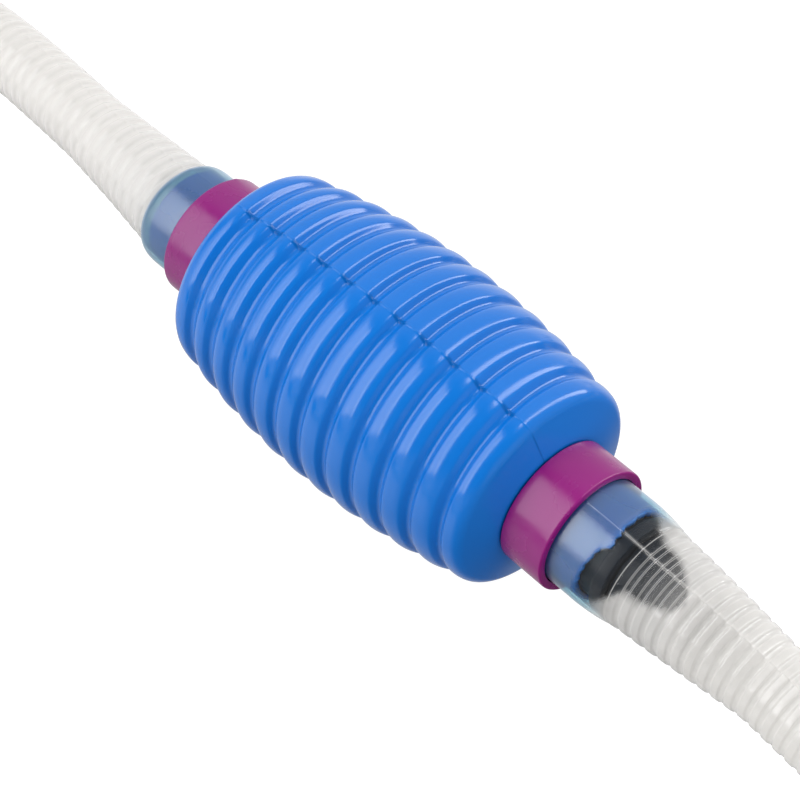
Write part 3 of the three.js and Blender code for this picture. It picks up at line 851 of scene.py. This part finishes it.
# ------------------------------------------------------------------ nozzle
# The cap's closed outline: (x, radius, corner rounding)
CAP = [
    (-168.0, 9.6, 0.4), (-168.0, 12.5, 0.4), (-167.0, 12.7, 0.3), (-143.0, 12.7, 0.8),
    (-143.0, 15.6, 0.6), (-141.5, 16.4, 0.9), (-131.0, 20.1, 2.0), (-128.0, 20.6, 1.5),
    (-124.5, 20.6, 0.3), (-123.9, 21.0, 0.3), (-104.2, 21.0, 0.3), (-103.6, 20.5, 0.3),
    (-101.6, 20.5, 0.3), (-101.0, 21.0, 0.3), (-100.0, 21.0, 0.5), (-100.0, 19.25, 0.4),
    (-128.0, 19.25, 0.3), (-128.0, 17.2, 0.5), (-141.0, 9.6, 1.0),
]
FLUTES, FLUTE_DEPTH = 30, 0.55
# The same for the gravel tube
GRAVEL_TUBE = [(-124.9, 17.4, 0.3), (-124.9, 19.0, 0.3), (80.0, 19.0, 0.7), (80.0, 17.4, 0.7)]


def outline_profile(outline, arc_steps, spacing):
    outline = np.array(outline)
    return closed_profile(outline[:, :2], outline[:, 2], arc_steps, spacing)


def nozzle_cap():
    profile = outline_profile(CAP, arc_steps=4, spacing=1.2)
    x, radius, angle = spread(profile, even(300))
    # grip flutes on the sleeve
    sleeve = smoothstep((x + 123.4) / 1.2) * smoothstep((-104.6 - x) / 1.2) * (radius > 20.2)
    radius = radius - FLUTE_DEPTH * sleeve * np.clip(np.cos(angle * FLUTES), 0, 1) ** 2
    place("cap_moulded", solid(around_x(x, radius, angle)), "cap_blue", NOZZLE, "nozzle",
          "nozzle_cap")


def gravel_tube():
    profile = outline_profile(GRAVEL_TUBE, arc_steps=6, spacing=4.0)
    place("tube_clear", turned(profile, even(144)), "clear_tube", NOZZLE, "tube", "gravel_tube")


def dress_strainer():
    """The frame's own strainer, coloured like the cap and with softened edges."""
    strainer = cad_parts["intake_strainer"]
    strainer.data.materials.clear()
    strainer.data.materials.append(MATERIALS["cap_blue"])
    bevel = strainer.modifiers.new("edge", "BEVEL")
    bevel.width = 0.00025
    bevel.segments = 2
    bevel.limit_method = "ANGLE"


nozzle_cap()
gravel_tube()
dress_strainer()

# ------------------------------------------------------------------ floor
WHITE = (1, 1, 1)


def floor_material():
    """Near white to the camera. To other rays it glows: bright towards -X, dim towards +X and
    dimmer where it is seen steeply."""
    material, tree = new_material("stage_white")
    incoming = add_node(tree, "NewGeometry").outputs["Incoming"]
    axes = add_node(tree, "SeparateXYZ", {0: incoming}).outputs
    sideways = remap(tree, axes["X"], from_range=(-0.30, 0.20), to_range=(0.25, 1.05),
                     kind="SMOOTHSTEP")
    steep = remap(tree, axes["Z"], from_range=(0.35, 0.85), to_range=(1.0, 0.5),
                  kind="SMOOTHSTEP")
    strength = math_node(tree, "MULTIPLY", sideways, steep)
    glow = add_node(tree, "Emission", {"Strength": strength})
    shown = add_node(tree, "Emission", {"Color": WHITE, "Strength": 0.93})
    shaded = add_node(tree, "BsdfDiffuse", {"Color": (0.2, 0.2, 0.2)})
    seen = add_node(tree, "AddShader", {0: shown.outputs[0], 1: shaded.outputs[0]})
    camera_ray = add_node(tree, "LightPath").outputs["Is Camera Ray"]
    shader = mix_shader(tree, camera_ray, glow.outputs[0], seen.outputs[0])
    add_node(tree, "OutputMaterial", {"Surface": shader})
    return material


def floor():
    half, z = 6.0, CAD_BOX[0][2]
    corners = [(-half, -half, z), (half, -half, z), (half, half, z), (-half, half, z)]
    data = bpy.data.meshes.new("stage_floor")
    data.from_pydata(corners, [], [(0, 1, 2, 3)])
    stage = bpy.data.objects.new("stage_floor", data)
    bpy.context.scene.collection.objects.link(stage)
    data.materials.append(floor_material())


floor()


# ------------------------------------------------------------------ lights
def area_light(name, location, rotation, width, height, radiance):
    data = bpy.data.lights.new(name, "AREA")
    data.shape = "RECTANGLE"
    data.size = width
    data.size_y = height
    data.energy = math.pi * width * height * radiance
    light = bpy.data.objects.new(name, data)
    bpy.context.scene.collection.objects.link(light)
    light.location = location
    light.rotation_euler = rotation
    return light


def x_side(towards):
    """The direction square to the given one that is nearest +X."""
    return (Vector((1, 0, 0)) - towards * towards.x).normalized()


def softbox(name, towards, width, height, radiance, turn=0.0):
    """A softbox 1.2 m off, facing the bulb, whose long side runs up and over it. turn moves it
    round the bulb towards +X, in degrees."""
    towards = Vector(towards).normalized()
    turn = math.radians(turn)
    towards = (towards * math.cos(turn) + x_side(towards) * math.sin(turn)).normalized()
    side = x_side(towards)
    rotation = Matrix((side, towards.cross(side), towards)).transposed().to_euler()
    area_light(name, towards * 1.2, rotation, width, height, radiance)


def fill_light(name, location, width, height, radiance):
    """A light aimed at the origin that leaves no reflection."""
    rotation = (-Vector(location)).to_track_quat("-Z", "Y").to_euler()
    light = area_light(name, location, rotation, width, height, radiance)
    light.visible_glossy = False


KEY = (-0.605, -0.577, 0.548)
softbox("key_softbox", KEY, width=0.60, height=1.45, radiance=3.0, turn=7.0)
softbox("key_fade", KEY, width=0.30, height=1.45, radiance=1.5, turn=-14.0)
softbox("key_edge", (-0.21, -0.709, 0.673), width=0.17, height=1.45, radiance=4.6)
softbox("top_strip", (0.22, 0.667, 0.71), width=0.36, height=2.10, radiance=5.6)
fill_light("side_fill", (1.15, -0.25, 0.25), width=0.8, height=0.8, radiance=3.6)
fill_light("low_fill", (0.25, -1.1, 0.10), width=1.0, height=0.45, radiance=2.2)


def studio_world():
    """White to the camera. To other rays, a dim studio with a bright low horizon and a pale wall
    towards +Y, both brighter on the -X side."""
    world = bpy.data.worlds.new("studio")
    bpy.context.scene.world = world
    world.use_nodes = True
    tree = world.node_tree
    tree.nodes.clear()
    generated = add_node(tree, "TexCoord").outputs["Generated"]
    axes = add_node(tree, "SeparateXYZ", {0: generated}).outputs

    def ramp(axis, dark_at, bright_at, top):
        return remap(tree, axes[axis], (dark_at, bright_at), (0.0, top), kind="SMOOTHSTEP")

    def weighted(value, gain, least):
        weight = math_node(tree, "MULTIPLY_ADD", minus_x, gain, least)
        return math_node(tree, "MULTIPLY", value, weight)

    minus_x = ramp("X", dark_at=0.15, bright_at=-0.25, top=1.0)
    horizon = weighted(ramp("Z", dark_at=0.30, bright_at=0.0, top=0.75), gain=0.8, least=0.2)
    wall = weighted(ramp("Y", dark_at=-0.15, bright_at=0.30, top=0.70), gain=0.4, least=0.6)
    ambient = 0.14
    level = math_node(tree, "ADD", ambient, math_node(tree, "MAXIMUM", horizon, wall))
    studio = add_node(tree, "Background", {"Strength": level, "Color": WHITE})
    plain = add_node(tree, "Background", {"Color": WHITE, "Strength": 1.0})
    camera_ray = add_node(tree, "LightPath").outputs["Is Camera Ray"]
    shader = mix_shader(tree, camera_ray, studio.outputs[0], plain.outputs[0])
    add_node(tree, "OutputWorld", {"Surface": shader})


studio_world()

# ------------------------------------------------------------------ camera
CAMERA_AZIMUTH, CAMERA_RISE = math.radians(45.895), math.radians(49.299)    # from -Y towards +X
CAMERA_DISTANCE, CAMERA_LENS = 0.541087, 103.54815      # metres, mm
ORIGIN_RIGHT, ORIGIN_UP = -0.0021232, 0.0063223     # where the origin lies in the view, metres


def add_camera():
    azimuth, rise = CAMERA_AZIMUTH, CAMERA_RISE
    back = Vector((math.sin(azimuth) * math.cos(rise), -math.cos(azimuth) * math.cos(rise),
                   math.sin(rise)))
    right = Vector((math.cos(azimuth), math.sin(azimuth), 0))
    up = back.cross(right)
    data = bpy.data.cameras.new("camera")
    data.sensor_width = 36.0
    data.lens = CAMERA_LENS
    data.clip_start = 0.01
    data.clip_end = 50.0
    camera = bpy.data.objects.new("camera", data)
    bpy.context.scene.collection.objects.link(camera)
    location = back * CAMERA_DISTANCE - right * ORIGIN_RIGHT - up * ORIGIN_UP
    turn = Matrix((right, up, back)).transposed().to_4x4()
    camera.matrix_world = Matrix.Translation(location) @ turn
    bpy.context.scene.camera = camera


add_camera()

scene = bpy.context.scene
scene.view_settings.view_transform = "Standard"
scene.view_settings.look = "None"
scene.view_settings.exposure = 0.0
scene.cycles.max_bounces = 24
scene.cycles.transparent_max_bounces = 48
scene.cycles.transmission_bounces = 12

bpy.context.view_layer.update()
